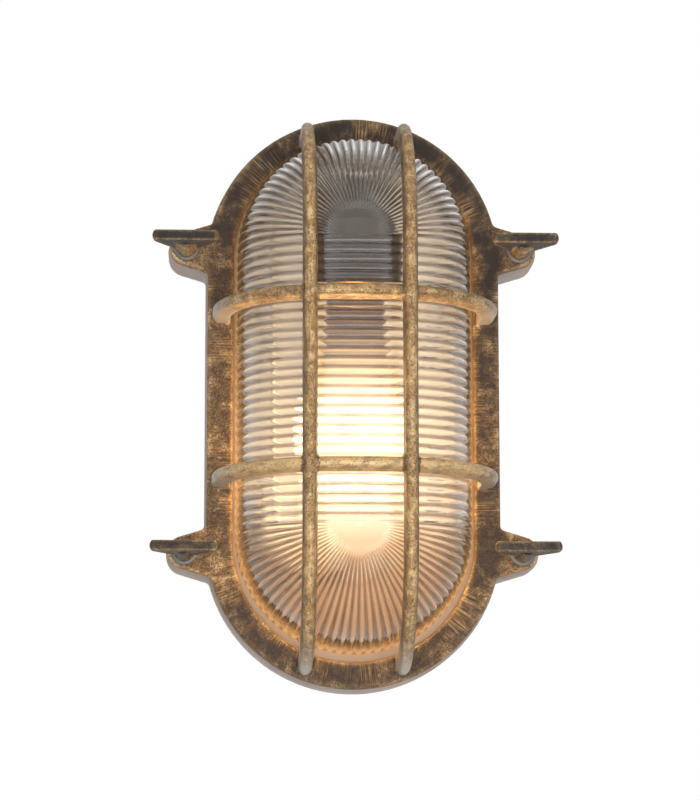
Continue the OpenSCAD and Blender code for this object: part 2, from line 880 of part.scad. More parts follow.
module terminal_block() {
    color("ivory")
        difference() {
            translate([0, -tray_front, 0]) {
                translate([-block_x - block_w / 2, -block_h / 2, -block_z - block_l / 2])
                    cube([block_w, block_h / 2, block_l]);
                for (way = ways)
                    way_place(way)
                        translate([-way_w / 2, -block_h, -block_l / 2])
                            cube([way_w, block_h, block_l]);
            }
            for (way = ways)
                way_place(way)
                    translate([0, -wire_y, -block_l])
                        cylinder(d = barrel_d + 2 * fit, h = 2 * block_l);
            clamp_places()
                rod(clamp_d + 2 * loose, wire_y, tray_front + block_h + over);
            way_place(0)
                rod(screw_d + 2 * fit, tray_front - over, tray_front + block_h);
        }
}

module terminal_barrels() {
    color("gold")
        difference() {
            for (way = ways)
                way_place(way)
                    translate([0, -wire_y, sunk - block_l / 2])
                        cylinder(d = barrel_d, h = block_l - 2 * sunk);
            for (way = ways)
                way_place(way)
                    translate([0, -wire_y, -block_l])
                        cylinder(d = lead_d + 2 * fit, h = 2 * block_l);
            clamp_places()
                rod(clamp_d + 2 * fit, wire_y, tray_front + block_h);
        }
}

module terminal_screws() {
    color("silver")
        clamp_places()
            rod(clamp_d, wire_y + lead_d / 2 + fit, tray_front + block_h - sunk);
}

module block_screw() {
    color("silver")
        way_place(0)
            pan_screw(tray_front + block_h / 2, tip_y);
}

// Height at which the lead of a way crosses to the lampholder
function lead_height(way) = holder_top - lead_drop - (way + 1) / 2 * lead_step;

// A quarter bend of a lead
module lead_bend_piece() {
    rotate_extrude(angle = 90)
        translate([lead_bend, 0])
            circle(d = lead_d);
}

// A lead that runs up from the terminal block, across the tray and forward into the lampholder
module lead(way) {
    x = -block_x + way * way_x;
    to_x = way * lead_apart;
    z = lead_height(way);
    from_z = -block_z + clamp_z;
    translate([x, -wire_y, from_z])
        cylinder(d = lead_d, h = z - lead_bend - from_z);
    translate([x + lead_bend, -wire_y, z - lead_bend])
        rotate([90, 0, 180])
            lead_bend_piece();
    translate([x + lead_bend, -wire_y, z])
        rotate([0, 90, 0])
            cylinder(d = lead_d, h = to_x - x - 2 * lead_bend);
    translate([to_x - lead_bend, -wire_y - lead_bend, z])
        lead_bend_piece();
    translate([to_x, 0, z])
        rod(lead_d, wire_y + lead_bend, lead_end_y);
}

module live_lead() {
    color("white")
        lead(ways[0]);
}

module neutral_lead() {
    color("white")
        lead(ways[1]);
}

base();
guard();
glass();
rear_gasket();
front_gasket();
wing_screw(-1, 1);  // wing_screw_upper_left
wing_screw(1, 1);  // wing_screw_upper_right
wing_screw(-1, -1);  // wing_screw_lower_left
wing_screw(1, -1);  // wing_screw_lower_right
washer(-1, 1);  // washer_upper_left
washer(1, 1);  // washer_upper_right
washer(-1, -1);  // washer_lower_left
washer(1, -1);  // washer_lower_right
reflector_tray();
tray_screws();
cable_grommet();
earth_screw();
earth_washer();
lampholder_bracket();
bracket_screws();
lampholder_body();
lampholder_screws();
lampholder_shell();
centre_contact();
lamp();
terminal_block();
terminal_barrels();
terminal_screws();
block_screw();
live_lead();
neutral_lead();
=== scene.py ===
import math

import bmesh
import bpy
import numpy as np
from mathutils import Matrix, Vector
from mathutils.bvhtree import BVHTree


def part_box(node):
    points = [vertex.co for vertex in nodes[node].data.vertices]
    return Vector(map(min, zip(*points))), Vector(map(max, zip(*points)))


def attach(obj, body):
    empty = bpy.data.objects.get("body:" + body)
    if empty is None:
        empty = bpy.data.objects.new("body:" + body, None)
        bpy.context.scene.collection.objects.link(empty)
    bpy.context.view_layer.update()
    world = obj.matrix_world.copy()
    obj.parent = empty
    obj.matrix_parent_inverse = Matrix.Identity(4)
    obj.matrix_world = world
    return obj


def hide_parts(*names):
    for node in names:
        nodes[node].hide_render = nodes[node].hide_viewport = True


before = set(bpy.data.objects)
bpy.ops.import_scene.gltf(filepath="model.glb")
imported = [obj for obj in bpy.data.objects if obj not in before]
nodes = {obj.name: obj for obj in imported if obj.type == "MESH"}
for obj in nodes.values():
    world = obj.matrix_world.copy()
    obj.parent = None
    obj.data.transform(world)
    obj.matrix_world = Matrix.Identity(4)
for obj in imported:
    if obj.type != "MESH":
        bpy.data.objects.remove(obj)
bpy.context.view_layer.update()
mm = 0.001
corners = {"upper_left": (-1, 1), "upper_right": (1, 1), "lower_left": (-1, -1), "lower_right": (1, -1)}
print("frame loaded,", len(nodes), "nodes")


def newObject(name, data):
    thing = bpy.data.objects.new(name, data)
    bpy.context.scene.collection.objects.link(thing)
    return thing


def smooth(mesh):
    mesh.polygons.foreach_set("use_smooth", [True] * len(mesh.polygons))


def settle(piece):  # turns what the modifiers make into the piece's own plain mesh
    bpy.context.view_layer.update()
    made = bpy.data.meshes.new_from_object(piece.evaluated_get(bpy.context.evaluated_depsgraph_get()))
    piece.modifiers.clear()
    old, piece.data = piece.data, made
    bpy.data.meshes.remove(old)
    made.name = piece.name
    smooth(made)
    return piece


def points(mesh):
    flat = np.empty(3 * len(mesh.vertices), np.float32)
    mesh.vertices.foreach_get("co", flat)
    return flat.reshape(-1, 3).astype(float)


def storeValue(mesh, name, values):
    mesh.attributes.new(name, "FLOAT", "POINT").data.foreach_set("value", np.asarray(values, np.float32))


def storeVector(mesh, name, values):
    mesh.attributes.new(name, "FLOAT_VECTOR", "POINT").data.foreach_set(
        "vector", np.asarray(values, np.float32).ravel())


def ramp(x, low, high):  # smooth step from 0 to 1
    t = np.clip((x - low) / (high - low), 0, 1)
    return t * t * (3 - 2 * t)


# Shader helpers
def wire(tree, value, socket):
    if isinstance(value, bpy.types.NodeSocket):
        tree.links.new(value, socket)
    elif value is not None:
        socket.default_value = value


def calc(tree, operation, a, b=None, clamp=False):
    node = tree.nodes.new("ShaderNodeMath")
    node.operation = operation
    node.use_clamp = clamp
    for socket, value in zip(node.inputs, (a, b)):
        wire(tree, value, socket)
    return node.outputs[0]


def scaled(tree, value, gain, start):  # start + gain * value
    return calc(tree, "ADD", start, calc(tree, "MULTIPLY", value, gain))


def spread(tree, value, low, high):  # maps low..high to a smooth 0..1
    node = tree.nodes.new("ShaderNodeMapRange")
    node.interpolation_type = "SMOOTHSTEP"
    for name, part in (("Value", value), ("From Min", low), ("From Max", high)):
        wire(tree, part, node.inputs[name])
    return node.outputs["Result"]


def noise(tree, vector, scale, detail=3.0, rough=0.55, stretch=None):
    if stretch:
        turn = tree.nodes.new("ShaderNodeMapping")
        turn.inputs["Scale"].default_value = stretch
        wire(tree, vector, turn.inputs["Vector"])
        vector = turn.outputs[0]
    node = tree.nodes.new("ShaderNodeTexNoise")
    node.inputs["Scale"].default_value = scale
    node.inputs["Detail"].default_value = detail
    node.inputs["Roughness"].default_value = rough
    wire(tree, vector, node.inputs["Vector"])
    return node.outputs[0]


def blendColour(tree, share, first, second):
    node = tree.nodes.new("ShaderNodeMix")
    node.data_type = "RGBA"
    wire(tree, share, node.inputs[0])
    wire(tree, first, node.inputs[6])
    wire(tree, second, node.inputs[7])
    return node.outputs[2]


def newGroup(name, inputs, outputs):
    tree = bpy.data.node_groups.new(name, "ShaderNodeTree")
    for label, kind, value in inputs:
        socket = tree.interface.new_socket(label, in_out="INPUT", socket_type="NodeSocket" + kind)
        socket.default_value = value
    for label, kind in outputs:
        tree.interface.new_socket(label, in_out="OUTPUT", socket_type="NodeSocket" + kind)
    return tree, tree.nodes.new("NodeGroupInput").outputs, tree.nodes.new("NodeGroupOutput").inputs


def newMaterial(name, **sockets):
    material = bpy.data.materials.new(name)
    material.use_nodes = True
    tree = material.node_tree
    shader = tree.nodes["Principled BSDF"]
    for label, value in sockets.items():
        shader.inputs[label.replace("_", " ")].default_value = value
    return material, tree, shader


def placeGroup(tree, group, **values):
    node = tree.nodes.new("ShaderNodeGroup")
    node.node_tree = group
    for label, value in values.items():
        wire(tree, value, node.inputs[label.replace("_", " ")])
    return node.outputs


def attribute(tree, name):
    node = tree.nodes.new("ShaderNodeAttribute")
    node.attribute_name = name
    return node.outputs


def objectPlace(tree):
    return tree.nodes.new("ShaderNodeTexCoord").outputs["Object"]


def objectHeight(tree):
    split = tree.nodes.new("ShaderNodeSeparateXYZ")
    wire(tree, objectPlace(tree), split.inputs[0])
    return split.outputs["Z"]


def bump(tree, shader, height, strength, distance):
    node = tree.nodes.new("ShaderNodeBump")
    node.inputs["Strength"].default_value = strength
    node.inputs["Distance"].default_value = distance
    wire(tree, height, node.inputs["Height"])
    tree.links.new(node.outputs[0], shader.inputs["Normal"])


def dress(tree, shader, out, strength, grain):  # puts a group's colour, roughness and height on a shader
    wire(tree, out["Color"], shader.inputs["Base Color"])
    wire(tree, out["Roughness"], shader.inputs["Roughness"])
    bump(tree, shader, out["Height"], strength, grain)


# Dry brushed gold: a dusting, broad patches and hair strokes of gold over a dark coat, heavier on the edges.
# A grey colour laid over the gold is a painted sheen, and a cover above 0.9 turns the gold lighter as
# painted lamp glow
brush = {"dust": 1300, "patch": 58, "tone": 230,  # sizes of the noises, larger is finer
         "hair": (60, 1500, 300), "fan": (60, 34, 20), "fleck": (150, 420, 300)}  # along, across, deep


def makeDryBrush():
    tree, given, put = newGroup("dryBrush", [
        ("Way", "Vector", (0, 0, 0)), ("Edge", "Float", 0.0), ("Cover", "Float", 0.4),
        ("Patches", "Float", 0.5), ("Strokes", "Float", 0.5), ("Dull", "Float", 0.0),
        ("Dark", "Color", (0, 0, 0, 1)), ("Gold", "Color", (1, 1, 1, 1)),
        ("Glint", "Color", (1, 1, 1, 1)), ("Worn", "Color", (0.5, 0.5, 0.5, 1))],
        [("Color", "Color"), ("Gold Share", "Float"), ("Roughness", "Float"), ("Height", "Float")])
    place, way = objectPlace(tree), given["Way"]
    dust = spread(tree, noise(tree, place, brush["dust"], 3.0, 0.7), 0.36, 0.66)
    hair = spread(tree, noise(tree, way, 1.0, 3.0, 0.65, brush["hair"]), 0.44, 0.68)
    fan = spread(tree, noise(tree, way, 1.0, 2.0, 0.5, brush["fan"]), 0.5, 0.66)
    patch = spread(tree, noise(tree, place, brush["patch"], 4.0, 0.66), 0.46, 0.70)
    tone = noise(tree, place, brush["tone"], 4.0, 0.65)
    flecks = spread(tree, noise(tree, way, 1.0, 3.0, 0.6, brush["fleck"]), 0.36, 0.5)
    laid = scaled(tree, patch, given["Patches"], given["Cover"])
    laid = calc(tree, "MULTIPLY", laid, scaled(tree, dust, 1.1, 0.2))
    stroke = calc(tree, "MULTIPLY", calc(tree, "MULTIPLY", fan, hair), given["Strokes"])
    rim = calc(tree, "MULTIPLY", given["Edge"], scaled(tree, dust, 0.6, 0.3))
    gold = calc(tree, "ADD", calc(tree, "ADD", laid, stroke), rim, clamp=True)
    gold = calc(tree, "MULTIPLY", gold, scaled(tree, flecks, 0.4, 0.6))
    gold = calc(tree, "MAXIMUM", gold, calc(tree, "MULTIPLY", given["Dull"], 0.95))
    # painted lamp glow: a cover above 0.9 turns the gold towards the lighter Glint colour
    glowTone = calc(tree, "MULTIPLY", calc(tree, "SUBTRACT", given["Cover"], 0.9, clamp=True), 0.4)
    shine = spread(tree, calc(tree, "ADD", tone, glowTone), 0.42, 0.68)
    paint = blendColour(tree, shine, given["Gold"], given["Glint"])
    # painted sheen: the gold turns to a grey colour as its input share rises
    paint = blendColour(tree, given["Dull"], paint, given["Worn"])
    wire(tree, blendColour(tree, gold, given["Dark"], paint), put["Color"])
    wire(tree, gold, put["Gold Share"])
    wire(tree, scaled(tree, gold, -0.15, 0.55), put["Roughness"])
    wire(tree, scaled(tree, dust, 0.5, tone), put["Height"])
    return tree


# Cast skin: the faint pebbling and mottling of a sand casting under paint
def makeCastSkin():
    tree, given, put = newGroup("castSkin", [
        ("Paint", "Color", (0.3, 0.3, 0.3, 1)), ("Soil", "Color", (0.2, 0.2, 0.2, 1)),
        ("Mottle", "Float", 0.5)],
        [("Color", "Color"), ("Roughness", "Float"), ("Height", "Float")])
    place = objectPlace(tree)
    broad = noise(tree, place, 38, 4.0, 0.6)
    fine = noise(tree, place, 900, 3.0, 0.6)
    share = calc(tree, "MULTIPLY", spread(tree, broad, 0.38, 0.72), given["Mottle"])
    wire(tree, blendColour(tree, share, given["Paint"], given["Soil"]), put["Color"])
    wire(tree, scaled(tree, broad, 0.22, 0.34), put["Roughness"])
    wire(tree, scaled(tree, broad, 0.6, fine), put["Height"])
    return tree


dryBrush = makeDryBrush()
castSkin = makeCastSkin()


def brushedMaterial(name, patches, strokes, grain, **colours):
    material, tree, shader = newMaterial(name, IOR=1.45, Specular_IOR_Level=0.3)
    out = placeGroup(tree, dryBrush, Way=attribute(tree, "brushWay")["Vector"],
                     Edge=attribute(tree, "edgeWear")["Fac"], Cover=attribute(tree, "goldCover")["Fac"],
                     Dull=attribute(tree, "paintedSheenShare")["Fac"], Patches=patches, Strokes=strokes, **colours)
    wire(tree, calc(tree, "MULTIPLY", out["Gold Share"], 0.5), shader.inputs["Metallic"])
    dress(tree, shader, out, 0.35, grain)
    return material


def skinMaterial(name, paint, soil, mottle, grain, **sockets):
    material, tree, shader = newMaterial(name, **sockets)
    dress(tree, shader, placeGroup(tree, castSkin, Paint=paint, Soil=soil, Mottle=mottle), 0.3, grain)
    return material


guardGold = brushedMaterial("guardGold", 0.42, 0.8, 0.22 * mm, Dark=(0.026, 0.019, 0.017, 1),
                            Gold=(0.40, 0.235, 0.10, 1), Glint=(0.66, 0.45, 0.22, 1),
                            Worn=(0.46, 0.40, 0.34, 1))
screwBlack = brushedMaterial("screwBlack", 0.2, 0.4, 0.15 * mm, Dark=(0.016, 0.0155, 0.018, 1),
                             Gold=(0.38, 0.22, 0.09, 1), Glint=(0.66, 0.46, 0.22, 1),
                             Worn=(0.3, 0.27, 0.24, 1))
basePaint = skinMaterial("basePaint", (0.345, 0.275, 0.24, 1), (0.275, 0.21, 0.175, 1), 0.8, 0.12 * mm)
washerGrey = skinMaterial("washerGrey", (0.13, 0.125, 0.12, 1), (0.2, 0.17, 0.14, 1), 0.8, 0.06 * mm,
                          Metallic=0.4)
zincPlate = skinMaterial("zincPlate", (0.50, 0.50, 0.49, 1), (0.36, 0.36, 0.36, 1), 0.8, 0.05 * mm,
                         Metallic=0.9)
brassPlain = skinMaterial("brassPlain", (0.62, 0.42, 0.16, 1), (0.45, 0.29, 0.10, 1), 0.7, 0.04 * mm,
                          Metallic=0.95)
sealRubber = skinMaterial("sealRubber", (0.31, 0.25, 0.20, 1), (0.25, 0.195, 0.15, 1), 0.6, 0.08 * mm)
grommetRubber = skinMaterial("grommetRubber", (0.022, 0.022, 0.022, 1), (0.045, 0.043, 0.04, 1), 0.8,
                             0.08 * mm)
holderBlack = skinMaterial("holderBlack", (0.040, 0.029, 0.021, 1), (0.062, 0.045, 0.034, 1), 0.7,
                           0.04 * mm, Coat_Weight=0.25)
terminalIvory = skinMaterial("terminalIvory", (0.78, 0.74, 0.62, 1), (0.66, 0.61, 0.5, 1), 0.6, 0.05 * mm)
leadSleeve = skinMaterial("leadSleeve", (0.34, 0.34, 0.335, 1), (0.28, 0.28, 0.275, 1), 0.7, 0.05 * mm)
print("finishes ready")


def neighbours(mesh):  # gives a function that averages values over each vertex's neighbours
    ends = np.empty(2 * len(mesh.edges), np.int32)
    mesh.edges.foreach_get("vertices", ends)
    a, b = ends.reshape(-1, 2).T
    n = len(mesh.vertices)
    count = np.maximum(np.bincount(a, minlength=n) + np.bincount(b, minlength=n), 1)
    return lambda values: (np.bincount(a, values[b], n) + np.bincount(b, values[a], n)) / count


# Castings: a copy of the solid in even small faces, drawn back onto it and then eased at its edges
def softCopy(nodeName, pieceName, voxel, passes):
    mesh = bpy.data.meshes.new(pieceName)
    work = bmesh.new()
    work.from_mesh(nodes[nodeName].data)
    bmesh.ops.remove_doubles(work, verts=work.verts, dist=2e-6)
    work.to_mesh(mesh)
    solid = BVHTree.FromBMesh(work)
    work.free()
    piece = newObject(pieceName, mesh)
    remesh = piece.modifiers.new("remesh", "REMESH")
    remesh.mode = "VOXEL"
    remesh.voxel_size = voxel
    settle(piece)
    around = neighbours(piece.data)

    def ease(place, count):  # in and out again, so that nothing shrinks
        for share in (0.5, -0.52) * count:
            place = place + share * (np.stack([around(place[:, k]) for k in range(3)], 1) - place)
        return place

    place = ease(points(piece.data), 2)
    place = np.array([solid.find_nearest(v)[0] for v in place.tolist()])
    low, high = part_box(nodeName)
    place = np.clip(ease(place, passes), low, high)
    piece.data.vertices.foreach_set("co", place.astype(np.float32).ravel())
    piece.data.update()
    piece.data.materials.clear()
    return piece


def edgeWear(mesh, voxel, gain):  # how sharply the surface bends outwards, from 0 to 1
    place = points(mesh)
    normals = np.empty(3 * len(place), np.float32)
    mesh.vertex_normals.foreach_get("vector", normals)
    around = neighbours(mesh)
    drop = np.stack([around(place[:, k]) for k in range(3)], 1) - place
    bend = -(drop * normals.reshape(-1, 3)).sum(1) / voxel
    for _ in range(2):
        bend = 0.4 * bend + 0.6 * around(bend)
    return np.clip(bend * gain, 0, 1)


# Guard: places of its bars, then how much gold lies where, each span from none to full. The lower cross bar
# gets more gold as painted lamp glow, the upper one less as painted shade, the uprights' flanks less as
# painted shade, and the bars' feet a painted grey sheen
guard = {"voxel": 0.9 * mm, "passes": 2, "face": 28 * mm, "half": 68 * mm, "middle": 64 * mm,
         "upright": 23 * mm, "cross": 39.8 * mm, "barHalf": 4.2 * mm, "barLift": 0.6 * mm,
         "coverTop": 0.02, "coverLow": 0.1, "lowSpan": (-100 * mm, 40 * mm),
         "coverLeft": 0.2, "leftSpan": (-20 * mm, 60 * mm), "waistSpan": (-100 * mm, -30 * mm),
         "coverLugs": 0.32, "lugSpan": (69 * mm, 74 * mm),
         "coverBars": 0.95, "flankShade": 0.6, "flankSpan": (1.5 * mm, 3.0 * mm),
         "lowerCrossGlow": 0.65, "glowReach": 60 * mm, "upperCrossShade": -0.2,
         "footDull": 0.95, "footSpan": (-56 * mm, -16 * mm), "edgeGain": 5.0}


def brushOnGuard(mesh):  # streaks run across the ring and along the bars
    x, y, z = points(mesh).T
    depth = -y - guard["face"]
    half, middle = guard["half"], guard["middle"]
    axisZ = np.clip(z, -half, half)
    r = np.hypot(x, z - axisZ)
    angle = np.arctan2(z - axisZ, x)
    onSide = np.where(x > 0, z, 2 * half + middle * math.pi - z)
    onEnd = np.where(z > 0, half, -half) + middle * angle
    way = np.stack([r, np.where(np.abs(z) > half, onEnd, onSide), depth], 1)
    offUpright = np.abs(np.abs(x) - guard["upright"])
    offCross = np.abs(np.abs(z) - guard["cross"])
    upright = (depth > guard["barLift"]) & (offUpright < guard["barHalf"])
    cross = (depth > guard["barLift"]) & (offCross < guard["barHalf"]) & ~upright
    bars = upright | cross
    way[upright] = np.stack([z, x, depth * 0.4], 1)[upright]
    way[cross] = np.stack([x, z, depth * 0.4], 1)[cross]
    cover = guard["coverTop"] + (guard["coverLow"] - guard["coverTop"]) * ramp(-z, *guard["lowSpan"])
    cover += guard["coverLeft"] * ramp(-x, *guard["leftSpan"]) * ramp(-np.abs(z), *guard["waistSpan"])
    cover += guard["coverLugs"] * ramp(r, *guard["lugSpan"])
    # painted shade: the uprights get less gold on their flanks, so they darken to the sides
    flank = np.where(upright, offUpright, 0)
    cover[bars] = guard["coverBars"] - (guard["flankShade"] * ramp(flank, *guard["flankSpan"]))[bars]
    # painted lamp glow on the middle of the lower cross bar, painted shade on the upper cross bar
    paintedGlow = guard["lowerCrossGlow"] * np.exp(-(x / guard["glowReach"]) ** 2)
    cover[cross] += np.where(z < 0, paintedGlow, guard["upperCrossShade"])[cross]
    storeVector(mesh, "brushWay", way)
    storeValue(mesh, "goldCover", cover)
    # painted sheen: the bars turn grey towards their feet
    storeValue(mesh, "paintedSheenShare", np.where(bars, ramp(-depth, *guard["footSpan"]) * guard["footDull"], 0))


cage = softCopy("guard", "cageGuard", guard["voxel"], guard["passes"])
brushOnGuard(cage.data)
storeValue(cage.data, "edgeWear", edgeWear(cage.data, guard["voxel"], guard["edgeGain"]))
cage.data.materials.append(guardGold)
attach(cage, "housing")
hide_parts("guard")
print("guard", len(cage.data.polygons), "faces")

housing = {"voxel": 1.1 * mm, "passes": 2}
backBox = softCopy("base", "castBase", housing["voxel"], housing["passes"])
backBox.data.materials.append(basePaint)
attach(backBox, "housing")
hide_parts("base")
print("base", len(backBox.data.polygons), "faces")


# Ribbed dome, in millimetres: a smooth shell first, then ribs pressed out of it by a node tree
dome = {"r": 55.25, "half": 67.2, "lift": 2.0, "foot": 23.0, "crown": 83.75, "wall": 3.0, "power": 2.7,
        "flangeBack": 20.0, "flangeR": 65.7, "ringHalf": 68.0, "sideRibs": 30, "endRibs": 38,
        "ribHeight": 0.85, "perRib": 8, "outerRows": 40, "innerRows": 14, "hub": 12.0, "hubSoft": 10.0,
        "warmCast": 0.55, "warmCastFrom": 58.0, "warmCastFull": 80.0,  # painted warm lamp light, as an amber tint at the lower end
        "bandSpan": (-56.0, -32.0), "glowTop": 0.25, "glowSpan": (-60.0, 90.0),  # painted warm lamp light round the foot, as an amber band and a glow
        "clear": (0.97, 0.96, 0.94, 1), "amber": (0.62, 0.40, 0.20, 1), "valleyShade": (0.10, 0.062, 0.042, 1),
        "glow": (1.0, 0.53, 0.17, 1), "shade": (0.67, 0.65, 0.62, 1)}


def makeGlass():
    material, tree, shader = newMaterial("pressedGlass", Roughness=0.07, IOR=1.5, Transmission_Weight=1.0,
                                         Emission_Strength=0.2)
    waves = noise(tree, objectPlace(tree), 45, 2.0, 0.5)
    bump(tree, shader, waves, 0.05, 0.6 * mm)  # slight unevenness of pressed glass
    # painted shade: the glass darkens to a dark brown along the rib valleys
    soil = calc(tree, "MULTIPLY", attribute(tree, "ribValley")["Fac"], scaled(tree, waves, 0.5, 0.6))
    # painted warm lamp light: amber at the foot and at the lower end
    clean = blendColour(tree, attribute(tree, "amberShare")["Fac"], dome["clear"], dome["amber"])
    wire(tree, blendColour(tree, soil, clean, dome["valleyShade"]), shader.inputs["Base Color"])
    # painted lamp glow: the glass gives off a faint orange light round the foot
    glow = blendColour(tree, attribute(tree, "footGlow")["Fac"], (0, 0, 0, 1), dome["glow"])
    wire(tree, glow, shader.inputs["Emission Color"])
    path = tree.nodes.new("ShaderNodeLightPath")
    clear = tree.nodes.new("ShaderNodeBsdfTransparent")
    clear.inputs["Color"].default_value = dome["shade"]
    pick = tree.nodes.new("ShaderNodeMixShader")  # lets lamp light and daylight through for shadows
    wire(tree, path.outputs["Is Shadow Ray"], pick.inputs[0])
    wire(tree, shader.outputs[0], pick.inputs[1])
    wire(tree, clear.outputs[0], pick.inputs[2])
    wire(tree, pick.outputs[0], tree.nodes["Material Output"].inputs["Surface"])
    return material


def domeRows(r, foot, crown, count):  # rows of the dome's section from its crown to its foot, evenly spaced
    angle = np.linspace(0, math.pi / 2, 2000)
    out = r * np.cos(angle).clip(0) ** (2 / dome["power"])
    rise = foot + (crown - foot) * np.sin(angle) ** (2 / dome["power"])
    along = np.concatenate([[0], np.cumsum(np.hypot(np.diff(out), np.diff(rise)))])
    pick = np.linspace(along[-1], 0, count)
    return [(np.interp(s, along, out), np.interp(s, along, rise)) for s in pick]


def domeSections():  # radius, depth, half length, lift and ribbing of each row, outside, flange and inside
    wall, back = dome["wall"], dome["flangeBack"]
    outer = domeRows(dome["r"], dome["foot"], dome["crown"], dome["outerRows"])
    inner = domeRows(dome["r"] - wall, back, dome["crown"] - wall, dome["innerRows"])
    rows = [(r, y, dome["half"], dome["lift"], 1) for r, y in outer]
    rows += [(dome["flangeR"], y, dome["ringHalf"], 0, 0) for y in (dome["foot"], back)]
    return rows + [(r, y, dome["half"], dome["lift"], 0) for r, y in reversed(inner)]


def domeShell():
    per = dome["perRib"]
    sideN, endN = dome["sideRibs"] * per, dome["endRibs"] * per
    bend = math.pi * np.arange(endN) / endN
    outX = np.append(np.ones(sideN), np.cos(bend))  # way out from the middle line, half round the oval
    outZ = np.append(np.zeros(sideN), np.sin(bend))
    lineZ = np.append(2 * np.arange(sideN) / sideN - 1, np.ones(endN))  # place on the middle line
    outX, outZ, lineZ = (np.append(v, -v) for v in (outX, outZ, lineZ))
    n = len(outX)
    onEnd = np.abs(lineZ) == 1
    turn = np.arange(n) / per
    wave = np.abs(np.sin(math.pi * turn))
    rows = domeSections()
    place = []
    values = {"ribTurn": [], "ribShare": [], "ribValley": [], "amberShare": [], "footGlow": []}
    for r, y, half, lift, ribbed in rows:
        high = lineZ * half + outZ * r + lift
        place.append(np.stack([outX * r, np.full(n, -y), high], 1) * mm)
        share = np.where(onEnd, ramp(r, dome["hub"], dome["hub"] + dome["hubSoft"]), 1.0) * ribbed
        band = ramp(-y, *dome["bandSpan"]) * ribbed
        warmCast = dome["warmCast"] * ramp(-high, dome["warmCastFrom"], dome["warmCastFull"]) * ribbed
        glow = dome["glowTop"] + (1 - dome["glowTop"]) * ramp(-high, *dome["glowSpan"])
        values["ribTurn"].append(turn)
        values["ribShare"].append(share)
        values["ribValley"].append(share * ramp(0.95 - wave, 0, 0.6))
        values["amberShare"].append(np.maximum(band, warmCast))
        values["footGlow"].append(band * glow)
    faces = []
    for i in range(len(rows) - 1):
        for k in range(n):
            j = (k + 1) % n
            faces.append((i * n + k, i * n + j, (i + 1) * n + j, (i + 1) * n + k))
    mesh = bpy.data.meshes.new("ribbedGlass")
    mesh.from_pydata(np.concatenate(place).tolist(), [], faces)
    for name, parts in values.items():
        storeValue(mesh, name, np.concatenate(parts))
    work = bmesh.new()
    work.from_mesh(mesh)
    bmesh.ops.remove_doubles(work, verts=work.verts, dist=1e-6)
    bmesh.ops.dissolve_degenerate(work, edges=work.edges, dist=1e-7)
    bmesh.ops.recalc_face_normals(work, faces=work.faces)
    work.to_mesh(mesh)
    work.free()
    smooth(mesh)
    return mesh


def newShaper(name, inputs):
    tree = bpy.data.node_groups.new(name, "GeometryNodeTree")
    tree.interface.new_socket("Geometry", in_out="INPUT", socket_type="NodeSocketGeometry")
    for label, kind in inputs:
        tree.interface.new_socket(label, in_out="INPUT", socket_type="NodeSocket" + kind)
    tree.interface.new_socket("Geometry", in_out="OUTPUT", socket_type="NodeSocketGeometry")
    return tree, tree.nodes.new("NodeGroupInput").outputs


def endShaper(tree, geometry, material):
    real = tree.nodes.new("GeometryNodeRealizeInstances")
    coat = tree.nodes.new("GeometryNodeSetMaterial")
    wire(tree, geometry, real.inputs["Geometry"])
    wire(tree, real.outputs["Geometry"], coat.inputs["Geometry"])
    wire(tree, material, coat.inputs["Material"])
    wire(tree, coat.outputs["Geometry"], tree.nodes.new("NodeGroupOutput").inputs["Geometry"])
    return tree


def useShaper(piece, tree, **values):
    modifier = piece.modifiers.new(tree.name, "NODES")
    modifier.node_group = tree
    for item in tree.interface.items_tree:
        label = item.name.replace(" ", "_")
        if item.in_out == "INPUT" and label in values:
            modifier[item.identifier] = values[label]
    return settle(piece)


def named(tree, label):
    node = tree.nodes.new("GeometryNodeInputNamedAttribute")
    node.data_type = "FLOAT"
    node.inputs["Name"].default_value = label
    return node.outputs["Attribute"]


def makePressedRibs():
    tree, given = newShaper("pressedRibs", [("Rib Height", "Float"), ("Material", "Material")])
    turn = calc(tree, "MULTIPLY", named(tree, "ribTurn"), math.pi)
    wave = calc(tree, "ABSOLUTE", calc(tree, "SINE", turn))
    rise = calc(tree, "MULTIPLY", calc(tree, "MULTIPLY", wave, named(tree, "ribShare")), given["Rib Height"])
    lift = tree.nodes.new("ShaderNodeVectorMath")
    lift.operation = "SCALE"
    wire(tree, tree.nodes.new("GeometryNodeInputNormal").outputs[0], lift.inputs[0])
    wire(tree, rise, lift.inputs["Scale"])
    push = tree.nodes.new("GeometryNodeSetPosition")
    wire(tree, given["Geometry"], push.inputs["Geometry"])
    wire(tree, lift.outputs[0], push.inputs["Offset"])
    return endShaper(tree, push.outputs["Geometry"], given["Material"])


ribbedGlass = newObject("ribbedGlass", domeShell())
useShaper(ribbedGlass, makePressedRibs(), Rib_Height=dome["ribHeight"] * mm, Material=makeGlass())
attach(ribbedGlass, "housing")
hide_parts("glass")
print("glass", len(ribbedGlass.data.polygons), "faces")


# Wing screws: soft cast heads on threaded shanks, each with its washer
screw = {"x": 80.4 * mm, "z": 73.4 * mm, "face": 28.0 * mm, "washer": 1.2 * mm, "voxel": 0.45 * mm,
         "passes": 2, "shankR": 2.95 * mm, "tip": -20.0 * mm, "intoHub": 1.0 * mm, "lap": 0.4 * mm,
         "pitch": 1.0 * mm, "threadDepth": 0.42 * mm, "cover": 0.04, "hubCover": 0.55, "lowerHubs": 0.2,
         "hubFoot": (29 * mm, 31 * mm), "hubTop": (-50 * mm, -46 * mm), "hubSide": (-5.5 * mm, -4.5 * mm),
         "edgeGain": 5.0}
plate = {"bore": 3.0 * mm, "outer": 6.3 * mm, "bevel": 0.15 * mm, "soft": 0.25 * mm, "segments": 64}


